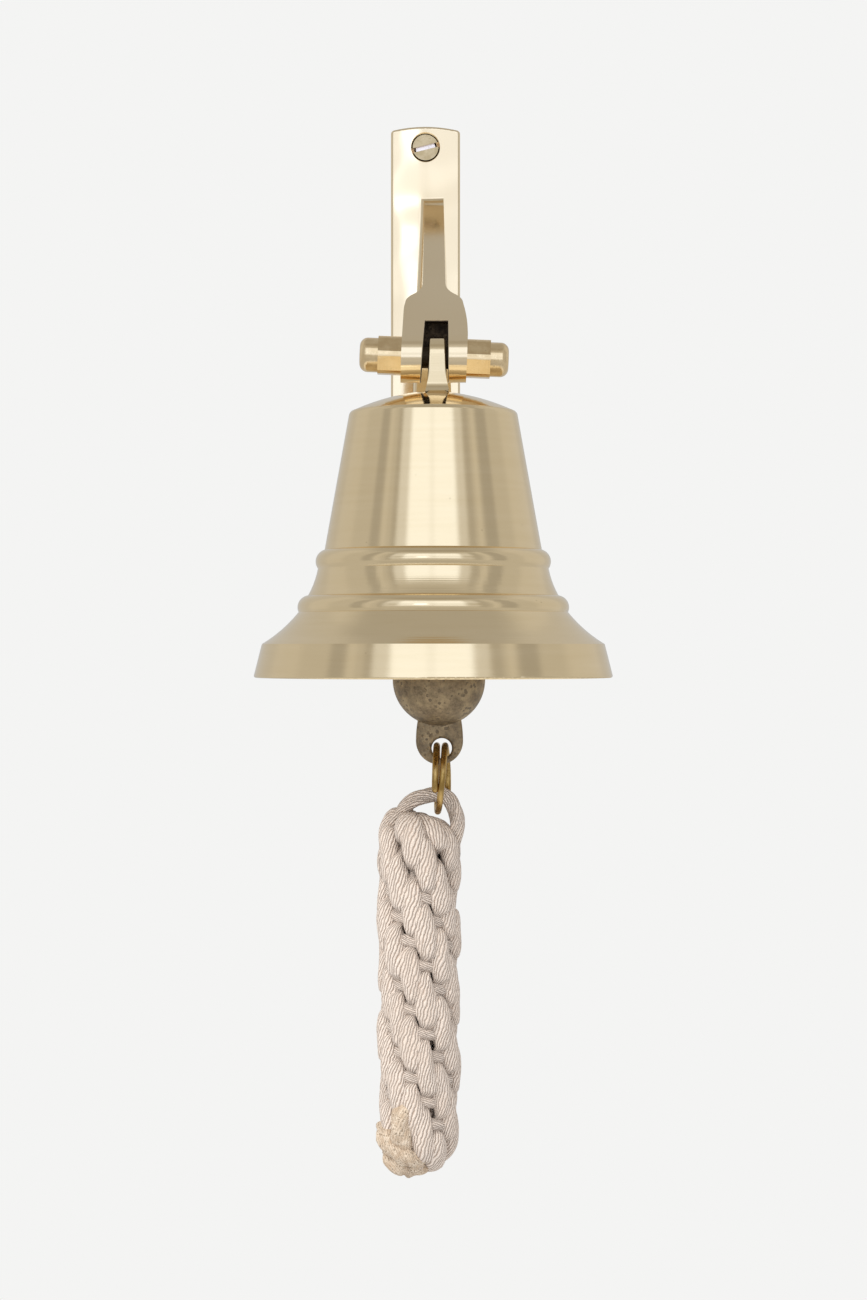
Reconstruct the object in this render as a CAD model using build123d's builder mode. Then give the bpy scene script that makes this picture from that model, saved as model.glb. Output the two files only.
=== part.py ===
from build123d import *
import math
import os

# A brass ship bell on a wall bracket, with its clapper and rope lanyard.
# Millimetres. The wall is the plane y = 0 and everything stands out from it towards -Y, with +Z up.
# The origin is on the wall, midway between the bracket's two screws.

os.makedirs("parts", exist_ok=True)

# ---- driving dimensions ---------------------------------------------------------------------
MOUTH_R = 63.7            # the bell is five inches across the mouth
BELL_OUT = 85.0           # bell axis out from the wall
BELL_X = 3.0              # the arm is cast this far to the right of the plate's middle
MOUTH_Z = -136.0          # height of the mouth
PIVOT_UP = 113.6          # pivot above the mouth
PIVOT_TILT = 2.2          # the cross bore runs down to the right by this many degrees

PLATE_W = 26.6
PLATE_L = 150.0
PLATE_T = 5.2             # at the crown of its rounded face
PLATE_EDGE_T = 3.8
PLATE_ARCH = 1.4          # how far the top and bottom edges bow outwards
PLATE_CORNER_R = 1.5
SCREW_Z = 67.0            # each wall screw above or below the origin
SCREW_R = 2.75            # No. 12 wood screw
SINK_R = 5.8              # rim of the countersink in the plate

EAR_R = 9.0               # round ends of the fork
FORK_HALF_W = 11.6
ARM_PITCH = 54.0          # the arm's top face leans back this far from upright
STUD_R = 4.0              # M8 cross stud
RUN_FIT = 0.05            # radial clearance of the stud in its bores

BALL_R = 16.4
HANG_X = BELL_X + 2.0     # the clapper is hung a little to the right of the bell's axis
ROPE_X = BELL_X - 4.8     # axis of the plaited rope

# ---- places worked out from them --------------------------------------------------------------
AXIS_Y = -BELL_OUT
PIVOT_Z = MOUTH_Z + PIVOT_UP


def up(height):
    """Height in the object's frame of a height above the mouth."""
    return MOUTH_Z + height


def write(piece, name):
    """Names a finished piece and writes it."""
    piece.part.label = name
    export_step(piece.part, "parts/" + name + ".step")


pivot_plane = Plane(
    origin=(BELL_X, AXIS_Y, PIVOT_Z),
    x_dir=(0, 1, 0),
    z_dir=(math.cos(math.radians(PIVOT_TILT)), 0, -math.sin(math.radians(PIVOT_TILT))),
)

# ---- wall bracket: one casting of plate, arm and fork -----------------------------------------
pitch = math.radians(ARM_PITCH)
tangent_y = AXIS_Y - EAR_R * math.cos(pitch)
tangent_z = PIVOT_Z + EAR_R * math.sin(pitch)
in_plate_y = -3.0
arm_root_z = tangent_z + (in_plate_y - tangent_y) / math.tan(pitch)
ARM_FOOT_Z = up(95.0)     # where the arm's hollow underside runs out into the plate
ARM_ARCH = (-45.0, up(129.0))

with BuildPart() as plate_blank:
    with BuildSketch(Plane.XY.offset(-PLATE_L)):
        with BuildLine():
            back = Polyline(
                (-PLATE_W / 2, -PLATE_EDGE_T),
                (-PLATE_W / 2, 0),
                (PLATE_W / 2, 0),
                (PLATE_W / 2, -PLATE_EDGE_T),
            )
            ThreePointArc(back @ 1, (0, -PLATE_T), back @ 0)
        make_face()
    extrude(amount=2 * PLATE_L)

with BuildPart() as plate:
    with BuildSketch(Plane.XZ):
        with BuildLine():
            side_z = PLATE_L / 2 - PLATE_ARCH
            right = Line((PLATE_W / 2, -side_z), (PLATE_W / 2, side_z))
            top = ThreePointArc(right @ 1, (0, PLATE_L / 2), (-PLATE_W / 2, side_z))
            left = Line(top @ 1, (-PLATE_W / 2, -side_z))
            ThreePointArc(left @ 1, (0, -PLATE_L / 2), right @ 0)
        make_face()
        fillet(vertices(), radius=PLATE_CORNER_R)
    extrude(amount=2 * PLATE_T)
    add(plate_blank.part, mode=Mode.INTERSECT)
    fillet(faces().sort_by(Axis.Y)[0].edges(), radius=1.1)

with BuildPart() as arm_side:
    with BuildSketch(Plane.YZ.offset(BELL_X - 20)):
        with BuildLine():
            slope = Line((tangent_y, tangent_z), (in_plate_y, arm_root_z))
            foot = Line(slope @ 1, (in_plate_y, ARM_FOOT_Z))
            ear_back = (AXIS_Y + EAR_R * math.cos(0.17), PIVOT_Z + EAR_R * math.sin(0.17))
            hollow = ThreePointArc(foot @ 1, ARM_ARCH, ear_back)
            ThreePointArc(hollow @ 1, (AXIS_Y, PIVOT_Z - EAR_R), slope @ 0)
        make_face()
    extrude(amount=40)

# the arm's outline seen square to its sloping top face: narrow web, flared neck, wide fork
arm_plane = Plane(
    origin=(BELL_X + 0.3, tangent_y, tangent_z),
    x_dir=(1, 0, 0),
    z_dir=(0, -math.cos(pitch), math.sin(pitch)),
)
NECK = 38.4               # up the slope from the ears' tangent line, where the web starts to flare
SHOULDER = 23.6
ARM_TOP = 120.0
CAST_DRAFT = 2.5          # degrees; the arm is wider at its foot in the plate than on its top face
ROOT_ROUND = 1.8
with BuildPart() as wall_bracket:
    with BuildSketch(arm_plane.offset(12)):
        with BuildLine():
            outer = Polyline((0, -40), (FORK_HALF_W + 0.4, -40), (FORK_HALF_W - 0.3, 8))
            shoulder = ThreePointArc(outer @ 1, (10.65, 17.6), (9.9, SHOULDER))
            corner = ThreePointArc(shoulder @ 1, (9.0, 27.3), (6.9, 30.0))
            neck = ThreePointArc(corner @ 1, (4.8, 33.0), (3.6, NECK))
            Polyline(neck @ 1, (3.0, ARM_TOP), (0, ARM_TOP), outer @ 0)
        make_face()
        mirror(about=Plane.YZ)
    extrude(amount=-90, taper=-CAST_DRAFT)
    add(arm_side.part, mode=Mode.INTERSECT)
    # the fork's outer faces are spot-faced square to the cross bore
    with BuildSketch(pivot_plane.offset(FORK_HALF_W + 0.3)):
        Circle(EAR_R + 30)
    extrude(amount=20, mode=Mode.SUBTRACT)
    with BuildSketch(pivot_plane.offset(-FORK_HALF_W + 0.3)):
        Circle(EAR_R + 30)
    extrude(amount=-20, mode=Mode.SUBTRACT)
    # the slot that the bell's lug swings in: open below and in front, wider at the foot
    with BuildSketch(Plane.XZ.offset(-AXIS_Y - EAR_R)):
        Polygon(
            (BELL_X - 4.8, PIVOT_Z - 14),
            (BELL_X + 5.25, PIVOT_Z - 14),
            (BELL_X + 5.25, PIVOT_Z + 13.1),
            (BELL_X - 2.9, PIVOT_Z + 13.1),
            align=None,
        )
    extrude(amount=30, mode=Mode.SUBTRACT)
    add(plate.part)
    root_edges = (
        edges()
        .filter_by(lambda e: -PLATE_T - 0.6 < e.center().Y < -PLATE_EDGE_T)
        .filter_by(lambda e: abs(e.center().X - BELL_X) < 5.5 and abs(e.center().Z) < PLATE_L / 2 - 5)
    )
    fillet(root_edges, radius=ROOT_ROUND)
    with BuildSketch(pivot_plane):
        Circle(STUD_R + RUN_FIT)
    extrude(amount=30, both=True, mode=Mode.SUBTRACT)
    with Locations(
        Location((0, -PLATE_T, SCREW_Z), (90, 0, 0)),
        Location((0, -PLATE_T, -SCREW_Z), (90, 0, 0)),
    ):
        CounterSinkHole(radius=SCREW_R + 0.25, counter_sink_radius=SINK_R, depth=PLATE_T + 1)
write(wall_bracket, "wall_bracket")

# ---- wall screws: slotted countersunk wood screws, shank and thread in the wall -------------------
HEAD_R = 4.95
SHANK_END = 12.0
THREAD_END = 31.0
THREAD_PITCH = 2.3
THREAD_ROOT_R = 1.95
THREAD_POINT = 3          # turns at the tip that run down to the point
POINT_STEP = 0.45
NECK_R = 2.9              # the neck under the head tapers to the shank at the wall
SLOT_W = 1.7
SLOT_DEPTH = 1.2
SLOT_TURN = 14.0
head_y = -PLATE_T + 0.5
neck_y = head_y + HEAD_R - NECK_R


def make_wall_screw(height, name):
    """One screw, turned in profile, with its slot across the head."""
    with BuildPart() as screw:
        with BuildSketch(Plane.XY.offset(height)):
            with BuildLine():
                cone = Polyline((0, head_y), (HEAD_R, head_y), (NECK_R, neck_y), (SCREW_R, 0))
                shank = Line(cone @ 1, (SCREW_R, SHANK_END))
                crest = shank @ 1
                turns = int((THREAD_END - SHANK_END) / THREAD_PITCH)
                for turn in range(turns):
                    start = SHANK_END + turn * THREAD_PITCH
                    taper = max(0.0, (turn - turns + THREAD_POINT) * POINT_STEP)
                    ridge = Polyline(
                        crest,
                        (THREAD_ROOT_R - taper, start + 0.45 * THREAD_PITCH),
                        (THREAD_ROOT_R - taper, start + 0.75 * THREAD_PITCH),
                        (SCREW_R - taper, start + THREAD_PITCH),
                    )
                    crest = ridge @ 1
                Polyline(crest, (0, THREAD_END + THREAD_PITCH), (0, head_y))
            make_face()
        revolve(axis=Axis((0, 0, height), (0, 1, 0)))
        with BuildSketch(Plane(origin=(0, head_y, height), x_dir=(1, 0, 0), z_dir=(0, -1, 0))):
            Rectangle(3 * HEAD_R, SLOT_W, rotation=SLOT_TURN)
        extrude(amount=-SLOT_DEPTH, mode=Mode.SUBTRACT)
    write(screw, name)


make_wall_screw(SCREW_Z, "upper_wall_screw")
make_wall_screw(-SCREW_Z, "lower_wall_screw")

# ---- pivot stud and its two cap nuts ----------------------------------------------------------------
NUT_FLATS = 13.2
NUT_HEX_H = 8.3
NUT_DOME_H = 6.5
NUT_DOME_R = 6.1
NUT_TIP_R = 2.9
NUT_CORNER = 0.55         # what is left of each corner beyond the flats
STUD_IN_NUT = 9.5
STUD_CHAMFER = 0.8
BORE_SPARE = 0.5          # the nut's bore goes on past the end of the stud
ear_left = -FORK_HALF_W + 0.3
ear_right = FORK_HALF_W + 0.3

with BuildPart() as pivot_stud:
    with BuildSketch(pivot_plane.offset(ear_left - STUD_IN_NUT)):
        Circle(STUD_R)
    extrude(amount=2 * FORK_HALF_W + 2 * STUD_IN_NUT)
    chamfer(edges().filter_by(GeomType.CIRCLE), length=STUD_CHAMFER)
write(pivot_stud, "pivot_stud")


def make_cap_nut(seat, side, name):
    """A hexagon nut with a turned round end, blind bored for the stud. side is +1 or -1 along the bore."""
    with BuildPart() as nut:
        with BuildSketch(pivot_plane.offset(seat)):
            RegularPolygon(NUT_FLATS / 2, 6, major_radius=False)
        extrude(amount=side * NUT_HEX_H)
        with BuildSketch(pivot_plane.offset(seat)):
            Circle(NUT_DOME_R)
        extrude(amount=side * (NUT_HEX_H + NUT_DOME_H))
        tip = nut.edges().filter_by(GeomType.CIRCLE).sort_by(Axis.X)[-1 if side > 0 else 0]
        fillet(tip, radius=NUT_TIP_R)
        # the corners of the hexagon are turned off a little
        with BuildSketch(pivot_plane.offset(seat)):
            Circle(NUT_FLATS / 2 + NUT_CORNER)
        extrude(amount=side * (NUT_HEX_H + NUT_DOME_H), mode=Mode.INTERSECT)
        with BuildSketch(pivot_plane.offset(seat)):
            Circle(STUD_R)
        extrude(amount=side * (STUD_IN_NUT + BORE_SPARE), mode=Mode.SUBTRACT)
    write(nut, name)


make_cap_nut(ear_left, -1, "left_cap_nut")
make_cap_nut(ear_right, 1, "right_cap_nut")

# ---- bell: one casting, turned all over, with a lug on its crown ------------------------------------
CROWN_IN = 88.0           # height of the flat boss inside the crown
EYE_BOLT_R = 3.0
EYE_BOLT_TOP = 103.0
LUG_TOP_R = 7.1
RIM_ROUND = 0.7
bell_plane = Plane(origin=(BELL_X, AXIS_Y, MOUTH_Z), x_dir=(1, 0, 0), z_dir=(0, -1, 0))

with BuildPart() as bell:
    with BuildSketch(bell_plane):
        with BuildLine():
            lip = Line((MOUTH_R, 0), (60.7, 11.9))
            skirt = ThreePointArc(lip @ 1, (53.7, 17.0), (47.75, 23.2))
            lower_bead = ThreePointArc(skirt @ 1, (47.3, 27.4), (44.4, 29.1))
            band = ThreePointArc(lower_bead @ 1, (42.3, 33.6), (40.9, 38.6))
            upper_bead = ThreePointArc(band @ 1, (41.6, 42.0), (38.5, 45.3))
            waist = Line(upper_bead @ 1, (29.95, 92.8))
            shoulder_arc = ThreePointArc(waist @ 1, (29.4, 94.0), (28.3, 94.6))
            crown = ThreePointArc(shoulder_arc @ 1, (16.5, 98.9), (0, 101.6))
            spindle = Line(crown @ 1, (0, CROWN_IN))
            boss = Polyline(spindle @ 1, (8.5, CROWN_IN), (9.5, CROWN_IN + 4.5))
            vault = ThreePointArc(boss @ 1, (20.5, CROWN_IN + 3.4), (25.6, CROWN_IN - 1.2))
            flank = Line(vault @ 1, (34.6, 42.0))
            flare_points = (flank @ 1, (40.6, 27.0), (50.2, 14.5), (55.4, 7.5), (59.6, 0))
            flare = Spline(*flare_points, tangents=(flank % 1, (0.45, -1)))
            Line(flare @ 1, lip @ 0)
        make_face()
    revolve(axis=Axis((BELL_X, AXIS_Y, MOUTH_Z), (0, 0, 1)))
    rims = edges().filter_by(GeomType.CIRCLE).filter_by(lambda e: abs(e.center().Z - MOUTH_Z) < 0.01)
    fillet(rims, radius=RIM_ROUND)

with BuildPart() as lug_side:
    with BuildSketch(Plane.YZ.offset(BELL_X - 12)):
        with BuildLine():
            crest = ThreePointArc(
                (AXIS_Y, PIVOT_Z + LUG_TOP_R),
                (AXIS_Y + LUG_TOP_R * math.sin(math.pi / 4), PIVOT_Z + LUG_TOP_R * math.cos(math.pi / 4)),
                (AXIS_Y + LUG_TOP_R, PIVOT_Z),
            )
            back = Line(crest @ 1, (AXIS_Y + 7.4, up(104.2)))
            root = ThreePointArc(back @ 1, (AXIS_Y + 8.5, up(101.7)), (AXIS_Y + 10.8, up(100.0)))
            Polyline(root @ 1, (AXIS_Y + 10.8, up(97.5)), (AXIS_Y, up(97.5)), crest @ 0)
        make_face()
        mirror(about=Plane.YZ.offset(AXIS_Y))
    extrude(amount=24)

with BuildPart() as crown_lug:
    with BuildSketch(Plane.XZ.offset(-AXIS_Y - 15)):
        Polygon(
            (BELL_X - 1.4, up(121)),
            (BELL_X - 2.05, up(104.4)),
            (BELL_X - 2.8, up(101.0)),
            (BELL_X - 3.0, up(97.5)),
            (BELL_X + 5.8, up(97.5)),
            (BELL_X + 5.6, up(101.0)),
            (BELL_X + 4.85, up(104.4)),
            (BELL_X + 4.1, up(121)),
            align=None,
        )
    extrude(amount=30)
    add(lug_side.part, mode=Mode.INTERSECT)
    fillet(edges().filter_by(lambda e: e.center().Z > up(104.4)), radius=0.6)

with BuildPart() as bell_casting:
    add(bell.part)
    add(crown_lug.part)
    with BuildSketch(pivot_plane):
        Circle(STUD_R + 2 * RUN_FIT)
    extrude(amount=12, both=True, mode=Mode.SUBTRACT)
    with BuildSketch(Plane.XY.offset(up(CROWN_IN - 1))):
        with Locations((HANG_X, AXIS_Y)):
            Circle(EYE_BOLT_R)
    extrude(amount=EYE_BOLT_TOP - CROWN_IN + 1, mode=Mode.SUBTRACT)
write(bell_casting, "bell")

# ---- clapper hanging: eye bolt, lock nut and ring ---------------------------------------------------
EYE_WIRE_R = 2.0
EYE_MEAN_R = 5.5
EYE_Z = up(77.3)
LOCK_NUT_H = 3.2
LOCK_NUT_FLATS = 10.0
HANGER_WIRE_R = 1.5
HANGER_MEAN_R = 8.5
HANG_GAP = 0.15           # the links are drawn this far off touching
BUTT_GAP = 0.3
eye_foot_z = EYE_Z - EYE_MEAN_R
hanger_top_z = eye_foot_z + EYE_WIRE_R + HANG_GAP + HANGER_WIRE_R
hanger_z = hanger_top_z - HANGER_MEAN_R
hanger_foot_z = hanger_z - HANGER_MEAN_R

with BuildPart() as clapper_eye_bolt:
    with BuildSketch(Plane.XY.offset(EYE_Z + EYE_MEAN_R)):
        with Locations((HANG_X, AXIS_Y)):
            Circle(EYE_BOLT_R)
    extrude(amount=up(EYE_BOLT_TOP) - EYE_Z - EYE_MEAN_R)
    with Locations(Location((HANG_X, AXIS_Y, EYE_Z), (90, 0, 0))):
        Torus(EYE_MEAN_R, EYE_WIRE_R)
write(clapper_eye_bolt, "clapper_eye_bolt")

with BuildPart() as eye_bolt_lock_nut:
    with BuildSketch(Plane.XY.offset(up(CROWN_IN) - LOCK_NUT_H)):
        with Locations((HANG_X, AXIS_Y)):
            RegularPolygon(LOCK_NUT_FLATS / 2, 6, major_radius=False)
            Circle(EYE_BOLT_R, mode=Mode.SUBTRACT)
    extrude(amount=LOCK_NUT_H)
write(eye_bolt_lock_nut, "eye_bolt_lock_nut")

# a ring of thick wire, closed on itself at a butt joint on its wall side
with BuildPart() as hanger_ring:
    with Locations(Location((HANG_X, AXIS_Y, hanger_z), (0, 90, 0))):
        Torus(HANGER_MEAN_R, HANGER_WIRE_R)
    with Locations((HANG_X, AXIS_Y + HANGER_MEAN_R, hanger_z)):
        Box(4 * HANGER_WIRE_R, 4 * HANGER_WIRE_R, BUTT_GAP, mode=Mode.SUBTRACT)
write(hanger_ring, "hanger_ring")

# ---- clapper: one casting of eye, stem, ball and drilled lug ----------------------------------------
CLAPPER_EYE_MEAN_R = 5.6
CLAPPER_EYE_BAR_R = 2.1
LOWER_LUG_R = 8.35
LOWER_LUG_T = 4.6
LOWER_LUG_Z = up(-22.4)
LOWER_HOLE_R = 3.6
LOWER_HOLE_Z = up(-25.0)
lower_hole_x = HANG_X + 1.0
ball_z = up(-0.7)
clapper_eye_z = hanger_foot_z + HANGER_WIRE_R + HANG_GAP - CLAPPER_EYE_MEAN_R + CLAPPER_EYE_BAR_R

lug_neck = (7.7, 7.5)     # where the lug's outline runs into the ball
lug_back = Plane(
    origin=(HANG_X + 0.2, AXIS_Y + LOWER_LUG_T / 2, LOWER_LUG_Z),
    x_dir=(1, 0, 0),
    z_dir=(0, -1, 0),
)
with BuildPart() as lower_lug:
    with BuildSketch(lug_back):
        with BuildLine():
            lug_round = ThreePointArc((-LOWER_LUG_R, 0), (0, -LOWER_LUG_R), (LOWER_LUG_R, 0))
            lug_right = TangentArc(lug_round @ 1, lug_neck, tangent=(0, 1))
            lug_left = TangentArc(lug_round @ 0, (-lug_neck[0], lug_neck[1]), tangent=(0, 1))
            Line(lug_right @ 1, lug_left @ 1)
        make_face()
    extrude(amount=LOWER_LUG_T)
    rims = edges().filter_by(Plane.XZ).filter_by(GeomType.CIRCLE)
    fillet(rims, radius=0.8)
    with BuildSketch(Plane.XZ.offset(BELL_OUT - LOWER_LUG_T / 2 - 1)):
        with Locations((lower_hole_x, LOWER_HOLE_Z)):
            Circle(LOWER_HOLE_R)
    extrude(amount=LOWER_LUG_T + 2, mode=Mode.SUBTRACT)
    hole_rims = edges().filter_by(GeomType.CIRCLE).filter_by(lambda e: abs(e.radius - LOWER_HOLE_R) < 0.01)
    fillet(hole_rims, radius=0.9)

with BuildPart() as clapper:
    with BuildSketch(Plane(origin=(HANG_X, AXIS_Y, 0), x_dir=(1, 0, 0), z_dir=(0, -1, 0))):
        with BuildLine():
            stem_top_z = clapper_eye_z - CLAPPER_EYE_MEAN_R
            stem = Polyline((0, stem_top_z), (2.6, stem_top_z), (3.4, ball_z + BALL_R + 6))
            root = ThreePointArc(stem @ 1, (4.6, ball_z + BALL_R + 1.2), (7.2, ball_z + 14.74))
            ball = ThreePointArc(root @ 1, (BALL_R, ball_z), (0, ball_z - BALL_R))
            Line(ball @ 1, stem @ 0)
        make_face()
    revolve(axis=Axis((HANG_X, AXIS_Y, 0), (0, 0, 1)))
    with Locations(Location((HANG_X, AXIS_Y, clapper_eye_z), (90, 0, 0))):
        Torus(CLAPPER_EYE_MEAN_R, CLAPPER_EYE_BAR_R)
    add(lower_lug.part)
write(clapper, "clapper")

# ---- lanyard ring: two turns of wire through the clapper's lug ----------------------------------------
RING_WIRE_R = 1.15
RING_MEAN_R = 11.7
RING_HALF_PITCH = 1.12
RING_GAP = 3.4
ring_x = lower_hole_x - 0.1
ring_top_z = LOWER_HOLE_Z - LOWER_HOLE_R + RING_GAP + RING_WIRE_R
ring_z = ring_top_z - RING_MEAN_R
ring_foot_z = ring_z - RING_MEAN_R

with BuildPart() as lanyard_ring:
    for side in (-1, 1):
        with Locations(Location((ring_x + side * RING_HALF_PITCH, AXIS_Y, ring_z), (0, 90, 0))):
            Torus(RING_MEAN_R, RING_WIRE_R)
write(lanyard_ring, "lanyard_ring")

# ---- lanyard: a bight of rope through the ring, a plaited body and the heart it is worked round -------
BIGHT_ROPE_R = 2.65
BIGHT_MEAN_R = 5.3
ROPE_R = 14.2
rope_top_z = up(-52.5)
rope_foot_z = up(-175.5)
leg_end_z = up(-61.0)
HEART_R = 5.5
FOOT_ROUND = 8.0
SHOULDER_ROUND = 9.0
heart_foot_z = rope_foot_z + FOOT_ROUND
heart_top_z = leg_end_z - 2.0

bight_plane = Plane(origin=(ring_x, AXIS_Y, ring_foot_z), x_dir=(1, 0, 0), z_dir=(0, -1, 0))
LEFT_LEG_OUT = math.radians(24)
RIGHT_LEG_IN = math.radians(12)


def leg_foot(arch_x, arch_z, lean):
    """Where a leg that leaves the arch at this point, leaning this far to the left, ends in the plait."""
    drop = arch_z - (leg_end_z - ring_foot_z)
    return (arch_x - drop * math.tan(lean), arch_z - drop)


left_spring = (-BIGHT_MEAN_R * math.cos(LEFT_LEG_OUT), BIGHT_MEAN_R * math.sin(LEFT_LEG_OUT))
right_spring = (BIGHT_MEAN_R * math.cos(RIGHT_LEG_IN), -BIGHT_MEAN_R * math.sin(RIGHT_LEG_IN))
with BuildPart() as lanyard_bight:
    with BuildLine(bight_plane) as bight_path:
        Line(leg_foot(*left_spring, LEFT_LEG_OUT), left_spring)
        ThreePointArc(left_spring, (0, BIGHT_MEAN_R), right_spring)
        Line(right_spring, leg_foot(*right_spring, RIGHT_LEG_IN))
    with BuildSketch(bight_path.line ^ 0):
        Circle(BIGHT_ROPE_R)
    sweep()
write(lanyard_bight, "lanyard_bight")

with BuildPart() as lanyard_heart:
    with BuildSketch(Plane.XY.offset(heart_foot_z)):
        with Locations((ROPE_X, AXIS_Y)):
            Circle(HEART_R)
    extrude(amount=heart_top_z - heart_foot_z)
write(lanyard_heart, "lanyard_heart")

with BuildPart() as lanyard_plait:
    with BuildSketch(Plane.XY.offset(rope_foot_z)):
        with Locations((ROPE_X, AXIS_Y)):
            Circle(ROPE_R)
    extrude(amount=rope_top_z - rope_foot_z)
    fillet(faces().sort_by(Axis.Z)[0].edges(), radius=FOOT_ROUND)
    fillet(faces().sort_by(Axis.Z)[-1].edges(), radius=SHOULDER_ROUND)
    add(lanyard_bight.part, mode=Mode.SUBTRACT)
    add(lanyard_heart.part, mode=Mode.SUBTRACT)
write(lanyard_plait, "lanyard_plait")
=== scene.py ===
import math
import bpy
import numpy as np
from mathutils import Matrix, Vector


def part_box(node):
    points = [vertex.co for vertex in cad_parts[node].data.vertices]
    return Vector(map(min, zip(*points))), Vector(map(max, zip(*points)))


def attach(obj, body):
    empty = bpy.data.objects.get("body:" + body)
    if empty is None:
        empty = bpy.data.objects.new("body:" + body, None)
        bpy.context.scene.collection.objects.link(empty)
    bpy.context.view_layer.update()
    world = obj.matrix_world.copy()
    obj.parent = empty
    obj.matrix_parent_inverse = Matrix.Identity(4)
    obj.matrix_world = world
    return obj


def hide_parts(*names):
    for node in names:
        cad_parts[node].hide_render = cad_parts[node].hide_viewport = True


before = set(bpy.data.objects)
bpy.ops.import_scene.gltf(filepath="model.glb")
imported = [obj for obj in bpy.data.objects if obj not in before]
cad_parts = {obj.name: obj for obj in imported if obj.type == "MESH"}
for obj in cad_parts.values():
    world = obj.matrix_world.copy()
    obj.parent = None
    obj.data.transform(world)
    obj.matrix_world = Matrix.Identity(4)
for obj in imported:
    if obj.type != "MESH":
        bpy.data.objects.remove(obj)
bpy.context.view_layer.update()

# ---- Studio -----------------------------------------------------------------------------------
# A plain pale room: an even backdrop, a pale floor well below the bell, and one large soft panel in
# front, between white walls, which the polished brass shows as broad cream bands.
scene = bpy.context.scene
scene.view_settings.view_transform = "Standard"

CAMERA_AT = (0.00307, -1.043, -0.1262)
camera = bpy.data.objects.new("camera", bpy.data.cameras.new("camera"))
camera.data.sensor_width = 36.0
camera.data.lens = 74.8
camera.location = CAMERA_AT
camera.rotation_euler = (math.radians(90), 0, 0)
scene.collection.objects.link(camera)
scene.camera = camera


def feed(tree, socket, term):
    """Gives a socket its value: a number, a colour of three parts, or another node's output."""
    if isinstance(term, bpy.types.NodeSocket):
        tree.links.new(term, socket)
    elif socket.type == "RGBA":
        socket.default_value = (*term, 1.0)
    else:
        socket.default_value = term


def node(tree, kind, **settings):
    """One shader node. Settings named after an input set that input, and the others set the node."""
    made = tree.nodes.new(kind)
    for name, value in settings.items():
        if name in made.inputs:
            feed(tree, made.inputs[name], value)
        else:
            setattr(made, name, value)
    return made


def xyz(tree, vector):
    """The three parts of a vector."""
    return node(tree, "ShaderNodeSeparateXYZ", Vector=vector).outputs


def sum_of(tree, operation, *terms):
    """One maths node on two or three terms."""
    made = node(tree, "ShaderNodeMath", operation=operation)
    for socket, term in zip(made.inputs, terms):
        feed(tree, socket, term)
    return made.outputs[0]


def step(tree, value, low, high):
    """Goes smoothly from 0 at low to 1 at high, or the other way if low is the larger."""
    made = node(tree, "ShaderNodeMapRange", interpolation_type="SMOOTHSTEP")
    turned = float(low > high)
    for socket, term in zip(made.inputs, (value, min(low, high), max(low, high), turned, 1 - turned)):
        feed(tree, socket, term)
    return made.outputs[0]


def blend_colours(tree, share, first, second):
    """Mixes two colours by a share from 0 to 1."""
    made = node(tree, "ShaderNodeMix", data_type="RGBA")
    share_in, first_in, second_in = made.inputs[0], made.inputs[6], made.inputs[7]
    feed(tree, share_in, share)
    feed(tree, first_in, first)
    feed(tree, second_in, second)
    return made.outputs[2]


def weighted(tree, first, second, weight):
    """The first height with some of the second added."""
    return sum_of(tree, "ADD", first, sum_of(tree, "MULTIPLY", second, weight))


room = bpy.data.worlds.new("room")
room.use_nodes = True
scene.world = room
air = room.node_tree
air.nodes.clear()
rightward, backward, upward = xyz(air, air.nodes.new("ShaderNodeTexCoord").outputs["Generated"])
toward = sum_of(air, "MULTIPLY", backward, -1.0)
azimuth = sum_of(air, "DEGREES", sum_of(air, "ARCTAN2", rightward, toward))
height = sum_of(air, "DEGREES", sum_of(air, "ARCSINE", upward))
WALLS = 0.56                # how bright the room is away from the panels


def panel(left, right, bottom, top, blur, glow):
    """Light of one panel: glow within its azimuths and heights in degrees, fading over blur degrees."""
    across = sum_of(
        air, "MULTIPLY",
        step(air, azimuth, left - blur, left + blur), step(air, azimuth, right + blur, right - blur)
    )
    up = sum_of(
        air, "MULTIPLY",
        step(air, height, bottom - blur, bottom + blur), step(air, height, top + blur, top - blur)
    )
    return sum_of(air, "MULTIPLY", sum_of(air, "MULTIPLY", across, up), glow)


# each row is a panel's left and right azimuth, its bottom and top height, its blur and its glow
walls = WALLS
for left, right, bottom, top, blur, glow in (
    (-200, 200, 54, 100, 7.0, -0.11),    # the ceiling is dimmer
    (-60, 60, -60, -25, 8.0, -0.06),     # so is the floor in front
    (-74, -62, -15, 50, 3.0, -0.12),     # gaps between the side drapes, and their folds
    (-48, -42, -15, 50, 2.0, -0.09),
    (40, 48, -15, 50, 2.0, -0.09),
    (60, 76, -15, 50, 3.0, -0.13),
    (-130, -100, -15, 60, 6.0, 0.05),
    (100, 140, -15, 60, 6.0, 0.06),
    (-60, -54, -15, 50, 2.0, 0.06),
    (52, 57, -15, 50, 2.0, 0.07),
):
    walls = sum_of(air, "ADD", walls, panel(left, right, bottom, top, blur, glow))
window = 0.0
for left, right, bottom, top, blur, glow in (
    (-30, 28, -4, 41, 3.0, 0.58),        # the bright front panel
    (-42, -31, -4, 41, 2.5, 0.20),       # the white walls beside it catch its light
    (29, 39, -4, 41, 2.5, 0.15),
    (-4.5, 1.5, -4, 41, 1.5, -0.07),     # the seam down its middle
    (-40, 40, 6, 16, 2.5, -0.15),        # a bar across it
    (-16, -5, 7.5, 13, 1.5, 0.90),       # a lamp shining past the bar
    (-60, 60, 57, 74, 5.0, -0.05),       # the dark corner between wall and ceiling
):
    window = sum_of(air, "ADD", window, panel(left, right, bottom, top, blur, glow))
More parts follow.
